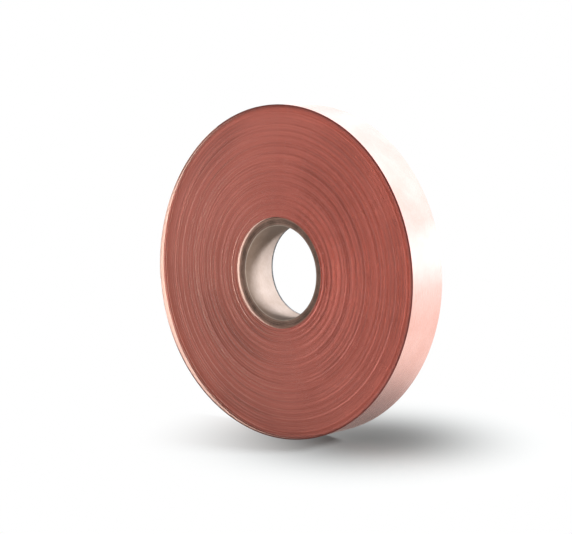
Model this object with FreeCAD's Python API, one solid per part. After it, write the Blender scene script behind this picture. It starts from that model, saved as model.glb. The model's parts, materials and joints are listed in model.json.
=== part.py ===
import FreeCAD, Part
import math
import os

# Copper foil tape roll for stained glass work: half-inch tape wound on a one-inch paper core.
#
# Frame, in millimetres: the origin is the middle of the core's bore. +Y runs along the roll's
# axis from the front face to the back face, and +Z is up, so the roll stands on its rim.
# Angles round the roll are measured in the XZ plane from +X towards +Z.
#
# The tape is one long strip of three layers: copper foil outside, adhesive, release liner
# inside. Its turns are drawn as bands of touching turns. Each band sits a little forward or
# back, as the turns of a real roll do, and the outermost turns have slipped out of the front.

# ---- Driving dimensions -------------------------------------------------------------------
TAPE_WIDTH = 12.7
ROLL_RADIUS = 46.0

FOIL_THICKNESS = 0.038
ADHESIVE_THICKNESS = 0.032
LINER_THICKNESS = 0.100
TAPE_THICKNESS = FOIL_THICKNESS + ADHESIVE_THICKNESS + LINER_THICKNESS

BORE_RADIUS = 13.0
CORE_FRONT_RECESS = 0.8
CORE_BACK_RECESS = 0.4

# Plies of the spiral-wound core, from the bore outwards: name and thickness.
CORE_PLIES = [
    ("core_bore_liner", 0.25),
    ("core_inner_ply", 0.50),
    ("core_middle_ply", 0.50),
    ("core_outer_ply", 0.50),
    ("core_wrap_ply", 0.50),
]

# Bands of tape turns, from the core outwards: outer radius, and how far the band sits behind
# the front face (negative is in front of it).
TURN_BANDS = [
    (16.2, 0.15),
    (18.4, 0.06),
    (20.6, 0.00),
    (22.8, 0.10),
    (25.4, 0.04),
    (28.0, 0.00),
    (30.4, 0.06),
    (32.8, 0.02),
    (35.2, 0.12),
    (37.6, 0.00),
    (40.0, 0.04),
    (41.8, 0.00),
    (43.6, 0.05),
    (45.1, 0.00),
    (45.5, -0.10),
    (ROLL_RADIUS, -0.80),
]

# The loose end of the tape lies in a notch of the outermost band, on the left side.
TAIL_ROOT_DEG = 152.0
TAIL_TIP_DEG = 186.0
LINER_END_DEG = 178.0
TAIL_CLEARANCE = 0.08
TAIL_END_GAP = 0.20
LINER_END_GAP = 0.15

# ---- Derived places -----------------------------------------------------------------------
FACE_Y = -TAPE_WIDTH / 2
BACK_Y = TAPE_WIDTH / 2
TAIL_INNER_RADIUS = ROLL_RADIUS - TAPE_THICKNESS
ADHESIVE_INNER_RADIUS = TAIL_INNER_RADIUS + LINER_THICKNESS
FOIL_INNER_RADIUS = ADHESIVE_INNER_RADIUS + ADHESIVE_THICKNESS
CORE_RADIUS = BORE_RADIUS + sum(thickness for _, thickness in CORE_PLIES)

ROLL_AXIS = FreeCAD.Vector(0, 1, 0)


def ring(inner_radius, outer_radius, front_y, back_y):
    """A tube round the roll's axis."""
    start = FreeCAD.Vector(0, front_y, 0)
    length = back_y - front_y
    outside = Part.makeCylinder(outer_radius, length, start, ROLL_AXIS)
    hole = Part.makeCylinder(inner_radius, length, start, ROLL_AXIS)
    return outside.cut(hole)


def rim_point(radius, angle_deg, y):
    """The point at that radius and angle round the roll."""
    angle = math.radians(angle_deg)
    return FreeCAD.Vector(radius * math.cos(angle), y, radius * math.sin(angle))


def arc_strip(inner_radius, outer_radius, from_deg, to_deg, front_y, back_y):
    """A curved strip: the part of a tube between two angles."""
    middle_deg = (from_deg + to_deg) / 2

    def arc(radius, first_deg, last_deg):
        points = [rim_point(radius, a, front_y) for a in (first_deg, middle_deg, last_deg)]
        return Part.Arc(*points).toShape()

    def end_line(angle_deg):
        inner = rim_point(inner_radius, angle_deg, front_y)
        outer = rim_point(outer_radius, angle_deg, front_y)
        return Part.LineSegment(inner, outer).toShape()

    edges = [
        arc(outer_radius, from_deg, to_deg),
        end_line(to_deg),
        arc(inner_radius, from_deg, to_deg),
        end_line(from_deg),
    ]
    outline = Part.Wire(Part.__sortEdges__(edges))
    return Part.Face(outline).extrude(ROLL_AXIS * (back_y - front_y))


def arc_degrees(length):
    """The angle that a length of tape covers at the rim."""
    return math.degrees(length / ROLL_RADIUS)


def core_plies():
    """The paper core, ply by ply. It is cut a little narrower than the tape."""
    shapes = {}
    front_y = FACE_Y + CORE_FRONT_RECESS
    back_y = BACK_Y - CORE_BACK_RECESS
    inner_radius = BORE_RADIUS
    for name, thickness in CORE_PLIES:
        shapes[name] = ring(inner_radius, inner_radius + thickness, front_y, back_y)
        inner_radius += thickness
    return shapes


def tape_turns():
    """The wound tape, band by band, each band a whole tape's width long."""
    shapes = {}
    inner_radius = CORE_RADIUS
    for number, (outer_radius, setback) in enumerate(TURN_BANDS, start=1):
        front_y = FACE_Y + setback
        back_y = BACK_Y + setback
        shapes[f"tape_turns_{number:02d}"] = ring(inner_radius, outer_radius, front_y, back_y)
        inner_radius = outer_radius
    outermost = f"tape_turns_{len(TURN_BANDS):02d}"
    shapes[outermost] = shapes[outermost].cut(tail_notch())
    return shapes


def tail_notch():
    """The room in the outermost band that the loose end of the tape takes."""
    return arc_strip(
        TAIL_INNER_RADIUS - TAIL_CLEARANCE,
        ROLL_RADIUS + 1,
        TAIL_ROOT_DEG - arc_degrees(TAIL_END_GAP),
        TAIL_TIP_DEG + arc_degrees(TAIL_END_GAP),
        FACE_Y - TAPE_WIDTH,
        BACK_Y + TAPE_WIDTH,
    )


def tape_end():
    """The loose end's three layers, and the last piece of liner, which peels off by itself."""
    setback = TURN_BANDS[-1][1]
    front_y = FACE_Y + setback
    back_y = BACK_Y + setback
    liner_gap = arc_degrees(LINER_END_GAP)
    layers = {
        "tail_foil": (FOIL_INNER_RADIUS, ROLL_RADIUS, TAIL_ROOT_DEG, TAIL_TIP_DEG),
        "tail_adhesive": (ADHESIVE_INNER_RADIUS, FOIL_INNER_RADIUS, TAIL_ROOT_DEG, TAIL_TIP_DEG),
        "tail_liner": (TAIL_INNER_RADIUS, ADHESIVE_INNER_RADIUS, TAIL_ROOT_DEG, LINER_END_DEG - liner_gap),
        "liner_end": (TAIL_INNER_RADIUS, ADHESIVE_INNER_RADIUS, LINER_END_DEG, TAIL_TIP_DEG),
    }
    return {name: arc_strip(*layer, front_y, back_y) for name, layer in layers.items()}


os.makedirs("parts", exist_ok=True)
for node, shape in {**core_plies(), **tape_turns(), **tape_end()}.items():
    shape.exportStep(f"parts/{node}.step")

hinge = rim_point(ROLL_RADIUS, TAIL_ROOT_DEG, 0)
liner_hinge = rim_point(ADHESIVE_INNER_RADIUS, LINER_END_DEG, 0)
print(f"tail hinge {hinge.x:.3f} {hinge.z:.3f}, liner hinge {liner_hinge.x:.3f} {liner_hinge.z:.3f}")
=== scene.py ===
"""The copper foil tape roll as it looks: real spiral turns of tape round a paper core, in a pale studio."""
import json
import math
from collections import namedtuple

import bpy
import numpy as np
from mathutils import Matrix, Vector


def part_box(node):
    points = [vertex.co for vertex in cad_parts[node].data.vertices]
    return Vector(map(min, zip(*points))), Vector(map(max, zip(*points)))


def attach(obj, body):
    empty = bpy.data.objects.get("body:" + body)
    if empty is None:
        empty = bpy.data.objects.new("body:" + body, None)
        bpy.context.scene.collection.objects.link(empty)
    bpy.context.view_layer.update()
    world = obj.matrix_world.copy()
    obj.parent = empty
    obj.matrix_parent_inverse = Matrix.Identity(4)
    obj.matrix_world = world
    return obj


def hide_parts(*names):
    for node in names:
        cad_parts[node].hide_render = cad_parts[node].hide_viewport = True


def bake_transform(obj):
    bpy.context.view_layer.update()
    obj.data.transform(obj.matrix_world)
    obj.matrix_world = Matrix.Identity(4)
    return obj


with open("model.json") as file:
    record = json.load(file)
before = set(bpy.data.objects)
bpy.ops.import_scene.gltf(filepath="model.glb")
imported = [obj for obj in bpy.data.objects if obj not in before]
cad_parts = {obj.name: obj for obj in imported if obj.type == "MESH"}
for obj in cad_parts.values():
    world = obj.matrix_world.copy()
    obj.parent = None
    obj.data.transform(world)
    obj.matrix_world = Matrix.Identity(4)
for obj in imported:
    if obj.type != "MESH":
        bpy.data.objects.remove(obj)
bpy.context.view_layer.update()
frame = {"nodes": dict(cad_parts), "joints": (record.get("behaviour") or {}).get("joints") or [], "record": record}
MM = 0.001
rng = np.random.default_rng(12)

# ---- Sizes, from the frame ------------------------------------------------------------------
BANDS = sorted(n for n in frame["nodes"] if n.startswith("tape_turns_"))
PLIES = ["core_bore_liner", "core_inner_ply", "core_middle_ply", "core_outer_ply", "core_wrap_ply"]
BORE_RADIUS = next(m for m in frame["record"]["mounts"] if m["name"] == "core_bore")["dims"]["r_mm"] * MM
PLY_RADII = [BORE_RADIUS] + [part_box(n)[1].z for n in PLIES]
CORE_RADIUS = PLY_RADII[-1]
CORE_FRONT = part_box(PLIES[0])[0].y
CORE_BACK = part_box(PLIES[0])[1].y
ROLL_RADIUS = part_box(BANDS[-1])[1].z
BAND_RADII = [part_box(n)[1].z for n in BANDS[:-1]] + [ROLL_RADIUS]
BAND_FRONTS = [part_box(n)[0].y for n in BANDS]
TAPE_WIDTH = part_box(BANDS[0])[1].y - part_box(BANDS[0])[0].y
RIM_FRONT = BAND_FRONTS[-1]

FOIL = 0.038 * MM
ADHESIVE = 0.032 * MM
LINER = 0.100 * MM
TAPE = FOIL + ADHESIVE + LINER
PITCH = 0.18 * MM                   # one turn's share of the radius: the tape and a trace of air
AIR = PITCH - TAPE

JOINTS = {j["name"]: j for j in frame["joints"]}


def angle_of(point):
    """The angle round the roll of a point, from +X towards +Z, from 0 to a full turn."""
    return math.atan2(point[2], point[0]) % math.tau


ROOT_ANGLE = angle_of(JOINTS["tail_lift"]["pos_m"])
LINER_ANGLE = angle_of(JOINTS["liner_peel"]["pos_m"])
TIP_ANGLE = math.radians(186)
SEAM_ANGLE = math.radians(120)      # where the outermost turn becomes the loose end's piece
LINER_SEAM_ANGLE = math.radians(166)


# ---- Small tools ----------------------------------------------------------------------------
def smoothstep(t):
    t = np.clip(t, 0, 1)
    return t * t * (3 - 2 * t)


def noise_line(count):
    """A smooth random function of one number, about -1 to 1, from random knots one apart."""
    knots = rng.uniform(-1, 1, count + 3)

    def at(x):
        x = np.clip(np.asarray(x, float), 0, count)
        i = np.floor(x).astype(int)
        return knots[i] + (knots[i + 1] - knots[i]) * smoothstep(x - i)

    return at


SHARP_ANGLE = math.radians(35)


def piece(name, points, faces, materials, face_materials=None):
    """A mesh object at the origin with smooth shading, sharp where faces meet steeply."""
    mesh = bpy.data.meshes.new(name)
    mesh.from_pydata(points.tolist(), [], faces)
    for m in materials:
        mesh.materials.append(m)
    if face_materials is not None:
        mesh.polygons.foreach_set("material_index", np.asarray(face_materials, np.int32))
    mesh.polygons.foreach_set("use_smooth", np.ones(len(mesh.polygons), bool))
    mesh.set_sharp_from_angle(angle=SHARP_ANGLE)
    mesh.update()
    made = bpy.data.objects.new(name, mesh)
    bpy.context.scene.collection.objects.link(made)
    return made


def swept(sections, edge_materials, closed=False):
    """Points, faces and material numbers of a bar whose cross-sections are given, (sections, points, xyz).
    It is capped at its ends, or closed on itself."""
    n, m, _ = sections.shape
    i = np.arange(n if closed else n - 1)[:, None]
    j = np.arange(m)[None, :]
    i2, j2 = (i + 1) % n, (j + 1) % m
    quads = np.stack([i * m + j, i * m + j2, i2 * m + j2, i2 * m + j], -1)
    faces = quads.reshape(-1, 4).tolist()
    numbers = np.broadcast_to(np.asarray(edge_materials), (len(i), m)).reshape(-1).tolist()
    if not closed:
        faces.append(list(range(m))[::-1])
        faces.append([(n - 1) * m + k for k in range(m)])
        numbers += [edge_materials[0]] * 2
    return sections.reshape(-1, 3), faces, numbers


def round_the_roll(radius, angle, y):
    """Points at those radii, angles and places along the axis."""
    radius, angle, y = np.broadcast_arrays(radius, angle, y)
    return np.stack([radius * np.cos(angle), y, radius * np.sin(angle)], -1)


# ---- Materials ------------------------------------------------------------------------------
SHADE_RING_RADIUS = BAND_RADII[8]    # a wide soft ring of painted shade, standing in for the shading of a shallow valley in the cut edges
SHADE_RING_WIDTH = 1.5 * MM
SHADE_RING_ANGLE = math.radians(35)
RING_DRIFT = 0.12 * MM              # how far the rings in the cut edges stray from true circles
FINE_ROW, COARSE_ROW, GROOVE_ROW = 2.0, 5.0, 40.0       # each size of ring reads its own row of the noise
FINE_SCALE, COARSE_SCALE, GROOVE_SCALE = 2600, 800, 620
GROOVE_WIDTH = 0.045                # of the noise, on either side of its middle
BACK_SHADE = 2 * MM                  # painted shade: the edges darken towards the back, from -y to +y of this
WARM_ANGLE = math.radians(25)       # the side where the cut edges are painted reddest, standing in for how the light falls on the two sides
WARM_RIM = 0.90 * ROLL_RADIUS       # from here outwards painted shade makes them redder and darker still on that side
HIGHLIGHT_ANGLE = math.radians(180)    # the side where the outermost edge has a painted highlight, not painted shade
# radii of the outermost edge's painted shade, and of its painted highlight
RIM_SHADE = (ROLL_RADIUS - 1.4 * MM, ROLL_RADIUS - 0.3 * MM)
RIM_HIGHLIGHT = (ROLL_RADIUS - 0.7 * MM, ROLL_RADIUS - 0.4 * MM)

Place = namedtuple("Place", "point x y radius angle")


class Nodes:
    """A material's node tree, built with short calls."""

    def __init__(self, name):
        self.material = bpy.data.materials.new(name)
        self.material.use_nodes = True
        self.tree = self.material.node_tree
        self.shader = self.tree.nodes["Principled BSDF"]

    def add(self, kind, **settings):
        node = self.tree.nodes.new(kind)
        for key, value in settings.items():
            setattr(node, key, value)
        return node

    def link(self, output, node_input):
        self.tree.links.new(output, node_input)

    def feed(self, node_input, value):
        """Gives an input a colour, a number or another node's output."""
        if isinstance(value, tuple):
            node_input.default_value = (*value, 1)
        elif isinstance(value, (int, float)):
            node_input.default_value = value
        else:
            self.link(value, node_input)

    def math(self, operation, *values):
        node = self.add("ShaderNodeMath", operation=operation)
        for node_input, value in zip(node.inputs, values):
            self.feed(node_input, value)
        return node.outputs[0]

    def hypotenuse(self, a, b):
        return self.math("SQRT", self.math("ADD", self.math("MULTIPLY", a, a), self.math("MULTIPLY", b, b)))

    def towards(self, angle, direction):
        """1 where the angle round the roll is that direction, -1 on the opposite side."""
        return self.math("COSINE", self.math("SUBTRACT", angle, direction))

    def place(self):
        """The point with its x and y, in metres, and its radius and angle round the roll."""
        point = self.add("ShaderNodeTexCoord").outputs["Object"]
        split = self.add("ShaderNodeSeparateXYZ")
        self.link(point, split.inputs[0])
        x, y, z = split.outputs
        return Place(point, x, y, self.hypotenuse(x, z), self.math("ARCTAN2", z, x))

    def vector(self, x, y, z):
        node = self.add("ShaderNodeCombineXYZ")
        for node_input, value in zip(node.inputs, (x, y, z)):
            self.feed(node_input, value)
        return node.outputs[0]

    def noise(self, vector, scale, detail, roughness=0.5):
        node = self.add("ShaderNodeTexNoise")
        node.inputs["Scale"].default_value = scale
        node.inputs["Detail"].default_value = detail
        node.inputs["Roughness"].default_value = roughness
        self.link(vector, node.inputs["Vector"])
        return node.outputs["Fac"]

    def ramp(self, value, *stops):
        """A colour ramp: each stop is a position and a linear colour."""
        node = self.add("ShaderNodeValToRGB")
        elements = node.color_ramp.elements
        while len(elements) < len(stops):
            elements.new(0.5)
        for element, (position, colour) in zip(elements, stops):
            element.position = position
            element.color = (*colour, 1)
        self.link(value, node.inputs[0])
        return node.outputs[0]

    def mix(self, share, a, b, blend="MIX"):
        node = self.add("ShaderNodeMix", data_type="RGBA", blend_type=blend)
        self.feed(node.inputs[0], share)
        self.feed(node.inputs[6], a)
        self.feed(node.inputs[7], b)
        return node.outputs[2]

    def fade(self, value, start, end):
        """0 before the start and 1 beyond the end, with a soft step between them."""
        node = self.add("ShaderNodeMapRange", interpolation_type="SMOOTHSTEP")
        self.link(value, node.inputs["Value"])
        node.inputs["From Min"].default_value = start
        node.inputs["From Max"].default_value = end
        return node.outputs[0]

    def bump(self, height, strength, distance):
        node = self.add("ShaderNodeBump")
        node.inputs["Strength"].default_value = strength
        node.inputs["Distance"].default_value = distance
        self.link(height, node.inputs["Height"])
        self.link(node.outputs[0], self.shader.inputs["Normal"])

    def set(self, **values):
        for key, value in values.items():
            self.feed(self.shader.inputs[key.replace("_", " ")], value)


def tape_edge_material(name, dark, light, metallic):
    """The cut edges of the wound tape: soft rings, thin grooves with painted shade, a wide soft ring of painted
    shade, painted light and shade that make one side and its rim warmer, and painted shade and highlight on the
    outermost edge.
    """
    n = Nodes(name)
    at = n.place()
    ring_place = n.math("ADD", at.radius, n.math("MULTIPLY", n.noise(at.point, 30, 1), RING_DRIFT))

    # The tone: rings in two sizes and smudges, with painted shade in the wide soft ring.
    fine = n.noise(n.vector(ring_place, FINE_ROW, 0.0), FINE_SCALE, 1)
    coarse = n.noise(n.vector(ring_place, COARSE_ROW, 0.0), COARSE_SCALE, 1)
    smudge = n.noise(at.point, 60, 3, 0.55)
    shade = n.math("ADD", n.math("MULTIPLY", fine, 0.40), n.math("MULTIPLY", coarse, 0.30))
    shade = n.math("ADD", shade, n.math("MULTIPLY", smudge, 0.30))
    # Painted shade: the wide soft ring, strongest on one side of the roll.
    ring = n.math("DIVIDE", n.math("SUBTRACT", at.radius, SHADE_RING_RADIUS), SHADE_RING_WIDTH)
    ring = n.math("EXPONENT", n.math("MULTIPLY", n.math("MULTIPLY", ring, ring), -1.0))
    ring = n.math("MULTIPLY", ring, n.math("MULTIPLY_ADD", n.towards(at.angle, SHADE_RING_ANGLE), 0.4, 0.45))
    shade = n.math("SUBTRACT", shade, n.math("MULTIPLY", ring, 0.10))
    colour = n.ramp(shade, (0.30, dark), (0.70, light))

    # Thin grooves, broken off here and there, bumped in and darkened with painted shade.
    wave = n.noise(n.vector(ring_place, GROOVE_ROW, 0.0), GROOVE_SCALE, 1)
    groove = n.fade(n.math("ABSOLUTE", n.math("SUBTRACT", wave, 0.5)), GROOVE_WIDTH, 0.0)
    groove = n.math("MULTIPLY", groove, n.fade(n.noise(at.point, 35, 1), 0.42, 0.60))
    colour = n.mix(n.math("MULTIPLY", groove, 0.38), colour, (0.30, 0.22, 0.20), "MULTIPLY")

    # Painted light: warmer on one side, standing in for how the light falls on the two sides; painted shade,
    # darker at the back.
    warm = n.math("MULTIPLY_ADD", n.towards(at.angle, WARM_ANGLE), 0.5, 0.5)
    colour = n.mix(warm, colour, (1.12, 0.92, 0.90), "MULTIPLY")
    colour = n.mix(n.fade(at.y, -BACK_SHADE, BACK_SHADE), colour, (0.60, 0.56, 0.54), "MULTIPLY")

    # The rim: painted shade makes it redder and darker on the warm side and its outermost edge dark, but a painted
    # highlight makes that edge light on one side.
    highlight_side = n.fade(n.towards(at.angle, HIGHLIGHT_ANGLE), 0.80, 0.95)
    rim = n.math("MULTIPLY", n.fade(at.radius, WARM_RIM, ROLL_RADIUS), n.fade(warm, 0.25, 0.8))
    colour = n.mix(n.math("MULTIPLY", rim, 0.5), colour, (1.0, 0.72, 0.62), "MULTIPLY")
    edge = n.math("MULTIPLY", n.fade(at.radius, *RIM_SHADE), n.math("SUBTRACT", 1.0, highlight_side))
    colour = n.mix(edge, colour, (0.38, 0.32, 0.31), "MULTIPLY")
    edge = n.math("MULTIPLY", n.fade(at.radius, *RIM_HIGHLIGHT), highlight_side)
    colour = n.mix(edge, colour, (0.88, 0.60, 0.50))

    n.set(Base_Color=colour, Metallic=metallic)
    n.set(Roughness=n.math("ADD", 0.40, n.math("MULTIPLY", coarse, 0.2)))
    relief = n.math("ADD", coarse, n.math("MULTIPLY", fine, 0.35))
    n.bump(n.math("SUBTRACT", relief, n.math("MULTIPLY", groove, 0.4)), 0.35, 0.10 * MM)
    return n.material


def foil_material(name):
    """Rolled copper foil: faint lines along the tape, soft waviness and a few darker spots."""
    n = Nodes(name)
    at = n.place()
    along = n.math("MULTIPLY", at.angle, ROLL_RADIUS)
    lines = n.noise(n.vector(n.math("MULTIPLY", along, 0.02), at.y, 0.0), 9000, 3, 0.6)
    wave = n.noise(n.vector(along, n.math("MULTIPLY", at.y, 0.6), 0.0), 160, 2)
    tarnish = n.noise(at.point, 120, 4, 0.6)
    colour = n.ramp(tarnish, (0.35, (0.88, 0.49, 0.41)), (0.65, (0.94, 0.56, 0.48)))
    n.set(Base_Color=colour, Metallic=1.0, Anisotropic=0.75)
    n.set(Roughness=n.math("ADD", 0.20, n.math("MULTIPLY", lines, 0.13)))
    tangent = n.add("ShaderNodeTangent", direction_type="RADIAL", axis="Y")
    n.link(tangent.outputs[0], n.shader.inputs["Tangent"])
    n.bump(n.math("ADD", n.math("MULTIPLY", lines, 0.1), wave), 0.35, 0.18 * MM)
    return n.material


def paper_material(name, dark, light, roughness, fibre_scale, bump=0.4, rings=0.0, gloss=0.15):
    """Paper or board: fibres, faint cloudiness and, where rings is above 0, soft rings round the core."""
    n = Nodes(name)
    at = n.place()
    along = n.math("MULTIPLY", at.angle, at.radius)
    fibres = n.noise(n.vector(along, n.math("MULTIPLY", at.y, 2.5), at.radius), fibre_scale, 4, 0.65)
    cloud = n.noise(at.point, 260, 2)
    mixed = n.math("ADD", n.math("MULTIPLY", fibres, 0.6), n.math("MULTIPLY", cloud, 0.4))
    ring_place = n.math("ADD", at.radius, n.math("MULTIPLY", cloud, 0.1 * MM))
    ring = n.noise(n.vector(ring_place, COARSE_ROW, 0.0), 1900, 1)
    mixed = n.math("MULTIPLY_ADD", n.math("SUBTRACT", ring, 0.5), rings, mixed)
    colour = n.ramp(mixed, (0.33, dark), (0.67, light))
    n.set(Base_Color=colour, Roughness=roughness, Specular_IOR_Level=gloss)
    n.bump(fibres, bump, 0.08 * MM)
    return n.material


def adhesive_material():
    """A thin film of stringy glue with some of the foil's shine."""
    n = Nodes("adhesive")
    strings = n.noise(n.place().point, 2500, 3, 0.6)
    n.set(Base_Color=n.ramp(strings, (0.3, (0.60, 0.46, 0.30)), (0.7, (0.78, 0.66, 0.46))))
    n.set(Roughness=0.18, Metallic=0.35)
    n.bump(strings, 0.3, 0.05 * MM)
    return n.material


LINER_EDGE = tape_edge_material("liner_edge", (0.19, 0.050, 0.036), (0.33, 0.098, 0.074), 0.35)
COPPER_EDGE = tape_edge_material("copper_edge", (0.40, 0.115, 0.082), (0.60, 0.20, 0.148), 0.9)
COPPER_FOIL = foil_material("copper_foil")
LINER_PAPER = paper_material(
    "release_liner", (0.66, 0.44, 0.36), (0.76, 0.54, 0.45), 0.45, 2200, bump=0.2, gloss=0.4)
BORE_PAPER = paper_material("core_liner_paper", (0.151, 0.102, 0.073), (0.202, 0.145, 0.111), 0.75, 1500)
PAPER_EDGE = paper_material("core_liner_edge", (0.22, 0.17, 0.14), (0.34, 0.27, 0.22), 0.8, 1500)
# The bore lining's back cut edge, near black: painted shade along the bore's far rim.
SHADED_BACK_EDGE = paper_material("core_shaded_back_edge", (0.012, 0.012, 0.012), (0.035, 0.033, 0.03), 0.9, 1500)
BOARD = paper_material(
    "core_board", (0.072, 0.046, 0.035), (0.29, 0.18, 0.138), 0.85, 2600, bump=0.6, rings=1.3)
ADHESIVE_FILM = adhesive_material()

# ---- The wound tape -------------------------------------------------------------------------
TURN_STEPS = 180                    # straight stretches in one turn
STEP = math.tau / TURN_STEPS
TURNS = (ROLL_RADIUS - TAPE - AIR / 2 - CORE_RADIUS) / PITCH
END_STEP = round(TURNS * TURN_STEPS)


def angle_at(step):
    """The angle round the roll after that many steps of winding; the last step is the tape's tip."""
    return TIP_ANGLE + (np.asarray(step) - END_STEP) * STEP


def inner_radius_at(step):
    return ROLL_RADIUS - TAPE - PITCH * (END_STEP - np.asarray(step)) / TURN_STEPS


SLIP = noise_line(400)              # slow drift of the turns, forward and back
JITTER = noise_line(400)            # each turn against the next
WANDER = noise_line(200)            # slow tilt of the turns
STRAYS = rng.uniform(0, 1, 400)     # now and then one turn stands back, or forward by half as much
STRAYS = np.where(STRAYS > 0.86, 1.0, np.where(STRAYS < 0.08, -0.5, 0.0))

# Turns from one knot to the next, and the knot where the winding starts, which leaves room before it.
SLIP_TURNS, SLIP_START = 2.6, 5
WANDER_TURNS, WANDER_START = 2.5, 3
STRAY_START = 9
SLIP_DEPTH = 0.05 * MM
WANDER_DEPTH = 0.03 * MM
WANDER_ANGLE = 0.7
BAND_STEP_WIDTH = 0.9 * MM          # how softly one band of turns passes into the next
BAND_STEP_SHARE = 0.6               # how much is kept of the step between two bands of the frame
LAST_STEP_WIDTH = 0.2 * MM          # the last such step is sharper, and kept whole

# The outermost turns have bulged forward on one side of the roll, and sunk back by as much elsewhere.
LIP_SWING = 0.60 * MM
LIP_ANGLE = math.radians(208)
LIP_START = BAND_RADII[-2] - PITCH * 0.6
LIP_WIDTH = 0.04 * MM


def drift_at(step):
    """Where the slow drift of the winding puts the tape's front edge, at that step of winding."""
    step = np.asarray(step, float)
    turn = step / TURN_STEPS
    radius = inner_radius_at(step)
    y = np.full(step.shape, BAND_FRONTS[0])
    for k in range(1, len(BANDS) - 1):
        last = k == len(BANDS) - 2
        width, share = (LAST_STEP_WIDTH, 1.0) if last else (BAND_STEP_WIDTH, BAND_STEP_SHARE)
        blend = smoothstep((radius - BAND_RADII[k - 1]) / width + 0.5)
        y = y + (BAND_FRONTS[k] - BAND_FRONTS[k - 1]) * blend * share
    bulge = (0.5 + 0.5 * np.cos(angle_at(step) - LIP_ANGLE)) ** 4
    lip = BAND_FRONTS[-1] - BAND_FRONTS[-2] + LIP_SWING * (1 - 2 * bulge)
    y = y + lip * smoothstep((radius - LIP_START) / LIP_WIDTH)
    tilt = WANDER(turn / WANDER_TURNS + WANDER_START) * np.cos(angle_at(step) - WANDER_ANGLE)
    return y + SLIP_DEPTH * SLIP(turn / SLIP_TURNS + SLIP_START) + WANDER_DEPTH * tilt


STRAY_DEPTH = (0.07 * MM, 0.02 * MM)        # far from the core, and how much more beside it
JITTER_DEPTH = (0.010 * MM, 0.020 * MM)
LOOSE_WIDTH = 9 * MM                # how far out from the core the winding gets tight


def stray_at(step):
    """How far a single turn stands back from its neighbours there."""
    turn = np.asarray(step, float) / TURN_STEPS + STRAY_START
    whole = np.floor(turn).astype(int)
    blend = smoothstep(turn - whole)
    stray = STRAYS[whole] * (1 - blend) + STRAYS[whole + 1] * blend
    loose = 1 - smoothstep((inner_radius_at(step) - CORE_RADIUS) / LOOSE_WIDTH)
    stray = (STRAY_DEPTH[0] + STRAY_DEPTH[1] * loose) * stray
    return stray + (JITTER_DEPTH[0] + JITTER_DEPTH[1] * loose) * JITTER(turn)


def front_at(step):
    """Where the tape's front edge is at that step of winding."""
    return drift_at(step) + stray_at(step)


BURR = 0.014 * MM                   # how far the foil's cut edge stands out of the liner's
MAX_LEAN = 0.04 * MM                # how far one turn leans towards its neighbour, across its thickness


def turns_piece(name, first, last):
    """The turns between two steps of winding: a strip with its liner inside and its foil outside."""
    step = np.arange(first, last + 1)
    inner = inner_radius_at(step)[:, None]
    angle = angle_at(step)[:, None]
    front = front_at(step)[:, None]
    lean = (drift_at(step + TURN_STEPS / 2) - drift_at(step - TURN_STEPS / 2))[:, None]
    lean = np.clip(lean, -MAX_LEAN, MAX_LEAN)
    rise = np.array([[0, LINER, TAPE, TAPE, LINER, 0]])
    burr = np.array([[0, 0, -BURR, BURR, 0, 0]])
    side = np.array([[0, 0, 0, TAPE_WIDTH, TAPE_WIDTH, TAPE_WIDTH]])
    sections = round_the_roll(inner + rise, angle, front + side + burr + lean * (rise / TAPE - 0.5))
    points, faces, numbers = swept(sections, [0, 1, 2, 1, 0, 3])
    return piece(name, points, faces, [LINER_EDGE, COPPER_EDGE, COPPER_FOIL, LINER_PAPER], numbers)


def step_at_radius(radius):
    return round(END_STEP - (ROLL_RADIUS - TAPE - radius) / PITCH * TURN_STEPS)


def finished(made, body, slot, *nodes):
    """Tells the frame which body carries a piece and what it replaces; slot is not used."""
    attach(made, body)
    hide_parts(*nodes)


LAST_TURN_STEP = END_STEP - TURN_STEPS
cuts = [0] + [step_at_radius(r) for r in BAND_RADII[:-1]] + [LAST_TURN_STEP]
for band, first, last in zip(BANDS, cuts, cuts[1:]):
    finished(turns_piece(band + "_strip", first, last), "roll", "wound_tape", band)

# ---- The outermost turn and the loose end, with a finer surface -------------------------------
FINE_ACROSS = 20                    # strips of faces across the tape's width
OUTER_TURN_STEPS = 420
TAIL_STEPS = 110
LINER_END_STEPS = 40
DENTS = [noise_line(400) for _ in range(3)]
DENTS_PER_RADIAN = 18
DENT_DEPTH = 0.006 * MM
SMALL_DENTS = 2.7                   # to each large one
SMALL_DENT_DEPTH = 0.003 * MM


def surface_wave(angle, across):
    """Soft waviness of the outermost turn, inwards only, in metres: across is 0 to 1."""
    arc = (np.asarray(angle) % math.tau) * DENTS_PER_RADIAN
    wave = DENTS[0](arc) * (1 - across) + DENTS[1](arc) * across
    fine = DENTS[2](arc * SMALL_DENTS) * np.sin(math.pi * across)
    return DENT_DEPTH * (wave - 1) + SMALL_DENT_DEPTH * (fine - 1)


def layer_piece(name, from_angle, to_angle, inside, outside, materials, steps, wavy=False):
    """One layer, or several together, of the outermost turn, between two angles.
    inside and outside are heights above the tape's inner face. materials: inner, outer, edge."""
    angle = np.linspace(from_angle, to_angle, steps + 1)
    step = END_STEP - (TIP_ANGLE - angle) / STEP
    inner = inner_radius_at(step)[:, None]
    front = front_at(step)[:, None]
    across = np.linspace(0, 1, FINE_ACROSS + 1)[None, :]
    outer_y = front + across * TAPE_WIDTH
    wave = surface_wave(angle[:, None], across) * wavy
    outer = round_the_roll(inner + outside + wave, angle[:, None], outer_y)
    under = round_the_roll(inner + inside, angle[:, None], outer_y[:, ::-1])
    sections = np.concatenate([outer, under], 1)
    numbers = [1] * FINE_ACROSS + [2] + [0] * FINE_ACROSS + [2]
    points, faces, numbers = swept(sections, numbers)
    return piece(name, points, faces, materials, numbers)


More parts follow.
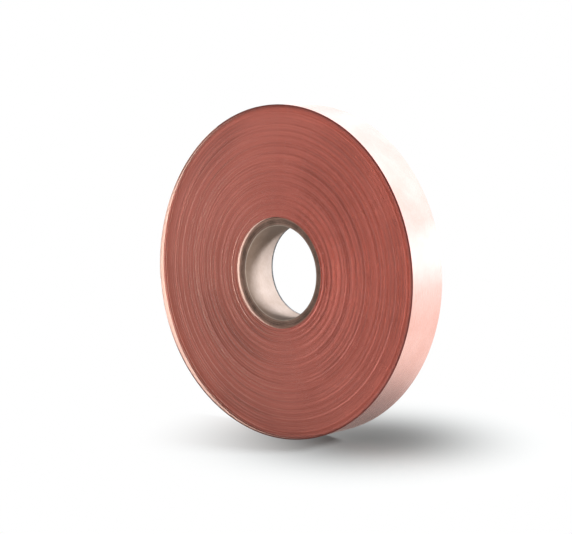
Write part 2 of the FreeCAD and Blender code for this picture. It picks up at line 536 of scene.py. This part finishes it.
outer_turn = layer_piece("outer_turn", TIP_ANGLE - math.tau, SEAM_ANGLE, 0, TAPE,
                         [LINER_PAPER, COPPER_FOIL, LINER_EDGE], OUTER_TURN_STEPS, wavy=True)
finished(outer_turn, "roll", "copper_foil", BANDS[-1])


def rim_place(angle):
    return round_the_roll(ROLL_RADIUS, angle, 0.0).tolist()


BEND = math.radians(5)              # an angle past each hinge; the points found with it are not used
TAIL_LAYERS = {
    "tail_liner": (SEAM_ANGLE, LINER_SEAM_ANGLE, 0, LINER, [LINER_PAPER] * 3, "release_liner"),
    "tail_adhesive": (SEAM_ANGLE, TIP_ANGLE, LINER, LINER + ADHESIVE, [ADHESIVE_FILM] * 3, "adhesive"),
    "tail_foil": (SEAM_ANGLE, TIP_ANGLE, LINER + ADHESIVE, TAPE,
                  [COPPER_FOIL, COPPER_FOIL, COPPER_EDGE], "copper_foil"),
}
for node, (start, end, low, high, materials, slot) in TAIL_LAYERS.items():
    made = layer_piece(node + "_strip", start, end, low, high, materials, TAIL_STEPS, node == "tail_foil")
    rim_place(ROOT_ANGLE)
    rim_place(ROOT_ANGLE + BEND)
    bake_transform(made)
    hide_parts(node)

liner_end = layer_piece("liner_end_strip", LINER_SEAM_ANGLE, TIP_ANGLE, 0, LINER,
                        [LINER_PAPER] * 3, LINER_END_STEPS)
rim_place(LINER_ANGLE)
rim_place(LINER_ANGLE + BEND)
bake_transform(liner_end)
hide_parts("liner_end")

# ---- The paper core -------------------------------------------------------------------------
CORE_STEPS = 240
CORNER_POINTS = 4
EDGE_ROUND = 0.11 * MM
MOUTH_ROUND = 0.2 * MM              # of the bore's own front corner
WALL_ROWS = 24                      # rows of faces along the bore
FUR_DEPTH = 0.022 * MM
WOBBLE_DEPTH = 0.03 * MM
WOBBLES = 36                        # in one turn
FRAY = 0.004 * MM                   # how far the cut edges stand back at least


def ply_piece(name, inner, outer, materials, rows, front_round):
    """One ply of the core: a tube with rounded, slightly furry cut edges. materials: wall, front, back."""
    angle = np.linspace(0, math.tau, CORE_STEPS, endpoint=False)[:, None]
    corner = np.linspace(0, math.pi / 2, CORNER_POINTS)
    front = CORE_FRONT + front_round
    back = CORE_BACK - EDGE_ROUND
    wall = np.linspace(back, front, rows + 1)[1:-1]
    radii = np.concatenate([
        inner + front_round * (1 - np.cos(corner)), outer - EDGE_ROUND * (1 - np.sin(corner)),
        outer - EDGE_ROUND * (1 - np.cos(corner)), inner + EDGE_ROUND * (1 - np.sin(corner)),
        np.full(len(wall), inner)])
    places = np.concatenate([
        front - front_round * np.sin(corner), CORE_FRONT + EDGE_ROUND * (1 - np.cos(corner)),
        back + EDGE_ROUND * np.sin(corner), back + EDGE_ROUND * np.cos(corner), wall])
    fur = noise_line(CORE_STEPS + 2)
    wobble = noise_line(WOBBLES + 4)
    turn = angle / math.tau
    end_points = 2 * CORNER_POINTS
    ends = np.concatenate([-np.ones(end_points), np.ones(end_points), np.zeros(len(wall))])[None, :]
    ragged = FUR_DEPTH * fur(turn * CORE_STEPS) + WOBBLE_DEPTH * wobble(turn * WOBBLES)
    ragged = np.minimum(ragged, 0.0) - FRAY
    sections = round_the_roll(radii[None, :], angle, places[None, :] + ends * ragged)
    numbers = [1] * (end_points - 1) + [0] + [2] * end_points + [0] * len(wall)
    points, faces, numbers = swept(sections, numbers, closed=True)
    return piece(name, points, faces, materials, numbers)


LINING_PAPERS = [BORE_PAPER, PAPER_EDGE, SHADED_BACK_EDGE]
for ply, inner, outer in zip(PLIES, PLY_RADII, PLY_RADII[1:]):
    if ply == "core_bore_liner":
        made = ply_piece(ply + "_paper", inner, outer, LINING_PAPERS, WALL_ROWS, MOUTH_ROUND)
        finished(made, "roll", "core_liner_paper", ply)
    else:
        made = ply_piece(ply + "_paper", inner, outer, [BOARD] * 3, 1, EDGE_ROUND)
        finished(made, "roll", "core_board", ply)


# ---- The studio -----------------------------------------------------------------------------
SHADE_CENTRE = (19 * MM, 10 * MM)   # of the soft shade that the roll's foot throws on the floor
SHADE_EDGE = 66 * MM                # beyond this the floor is only its own light
SHADE_TONES = (10 * MM, 70 * MM)    # from the darkest tone to the lightest
FLOOR_SIZE = 6.0
FLOOR_GAP = 0.05 * MM


def floor_material():
    """A white floor that is its own soft light, apart from a soft shade beside the roll's foot."""
    n = Nodes("floor")
    at = n.place()
    across, along = (n.math("SUBTRACT", value, centre) for value, centre in zip((at.x, at.y), SHADE_CENTRE))
    distance = n.hypotenuse(across, along)
    colour = n.mix(n.fade(distance, *SHADE_TONES), (0.055, 0.049, 0.041), (0.33, 0.310, 0.270))
    n.set(Base_Color=colour, Roughness=0.9, Specular_IOR_Level=0.1)
    glow = n.add("ShaderNodeEmission")
    blend = n.add("ShaderNodeMixShader")
    n.link(n.fade(distance, 0.0, SHADE_EDGE), blend.inputs[0])
    n.link(n.shader.outputs[0], blend.inputs[1])
    n.link(glow.outputs[0], blend.inputs[2])
    n.link(blend.outputs[0], n.tree.nodes["Material Output"].inputs["Surface"])
    return n.material


def floor():
    s, z = FLOOR_SIZE, -ROLL_RADIUS - FLOOR_GAP
    points = np.array([(-s, -s, z), (s, -s, z), (s, s, z), (-s, s, z)])
    made = piece("floor", points, [(0, 1, 2, 3)], [floor_material()])


WHITE = (1, 1, 1)
COOL = (0.78, 0.93, 1.16)
LIGHT_DISTANCE = 0.8
LIGHTS = [                          # name, direction, size in metres, watts, colour
    ("key", (0.82, 0.33, 0.52), (0.14, 0.14), 34, (0.83, 0.97, 1.15)),
    ("side", (0.97, -0.13, 0.08), (0.3, 0.2), 9.0, WHITE),
    ("left", (-1.0, -0.2, 0.08), (0.4, 0.25), 3.2, WHITE),
    ("back", (0.0, 0.85, 0.60), (0.9, 0.7), 1.3, COOL),
    ("right_back", (0.7, 0.7, 0.10), (0.5, 0.3), 0.6, (0.76, 0.94, 1.20)),
    ("fill", (0.2, -0.9, 0.6), (0.5, 0.5), 1.7, WHITE),
]


def soft_light(name, direction, size, power, colour):
    """A soft box that faces the middle of the roll."""
    light = bpy.data.lights.new(name, "AREA")
    light.shape = "RECTANGLE"
    light.size, light.size_y = size
    light.energy = power
    light.color = colour
    holder = bpy.data.objects.new(name, light)
    towards = Vector(direction).normalized()
    holder.location = towards * LIGHT_DISTANCE
    holder.rotation_mode = "QUATERNION"
    holder.rotation_quaternion = towards.to_track_quat("Z", "Y")
    bpy.context.scene.collection.objects.link(holder)


SKY_FRONT = 0.22                    # how bright the sky is as a light, in front of the roll
SKY_BEHIND = 1.0
SKY_SOFTNESS = 0.3                  # how far behind the roll it reaches its full brightness


def sky():
    """A white studio whose light comes mostly from behind the roll, less from in front of it."""
    world = bpy.data.worlds.new("studio")
    bpy.context.scene.world = world
    world.use_nodes = True
    tree = world.node_tree
    place = tree.nodes.new("ShaderNodeTexCoord")
    split = tree.nodes.new("ShaderNodeSeparateXYZ")
    ramp = tree.nodes.new("ShaderNodeValToRGB")
    sight = tree.nodes.new("ShaderNodeLightPath")
    mix = tree.nodes.new("ShaderNodeMix")
    mix.data_type = "RGBA"
    mix.inputs[7].default_value = (1, 1, 1, 1)
    tree.links.new(place.outputs["Generated"], split.inputs[0])
    tree.links.new(split.outputs[1], ramp.inputs[0])
    ramp.color_ramp.elements[0].position = 0.0
    ramp.color_ramp.elements[0].color = (SKY_FRONT, SKY_FRONT, SKY_FRONT, 1)
    ramp.color_ramp.elements[1].position = SKY_SOFTNESS
    ramp.color_ramp.elements[1].color = (SKY_BEHIND, SKY_BEHIND, SKY_BEHIND, 1)
    tree.links.new(sight.outputs["Is Camera Ray"], mix.inputs[0])
    tree.links.new(ramp.outputs[0], mix.inputs[6])
    tree.links.new(mix.outputs[2], tree.nodes["Background"].inputs["Color"])


CAMERA_AZIMUTH = math.radians(41.7)
CAMERA_ELEVATION = math.radians(6.07)
CAMERA_DISTANCE = 8 * ROLL_RADIUS
CAMERA_LENS = 84.7
AIM_RIGHT = 0.0605 * ROLL_RADIUS    # where it aims, from the middle of the roll's front
AIM_UP = 0.0384 * ROLL_RADIUS


def camera():
    a, e = CAMERA_AZIMUTH, CAMERA_ELEVATION
    back = Vector((math.sin(a) * math.cos(e), -math.cos(a) * math.cos(e), math.sin(e)))
    right = Vector((math.cos(a), math.sin(a), 0))
    up = back.cross(right)
    data = bpy.data.cameras.new("camera")
    data.lens = CAMERA_LENS
    data.clip_start = 0.01
    data.clip_end = 20
    made = bpy.data.objects.new("camera", data)
    aim = Vector((0, RIM_FRONT, 0)) + right * AIM_RIGHT + up * AIM_UP
    made.location = aim + back * CAMERA_DISTANCE
    made.rotation_mode = "QUATERNION"
    made.rotation_quaternion = back.to_track_quat("Z", "Y")
    bpy.context.scene.collection.objects.link(made)
    bpy.context.scene.camera = made


floor()
sky()
for light in LIGHTS:
    soft_light(*light)
camera()
bpy.context.scene.view_settings.view_transform = "Standard"
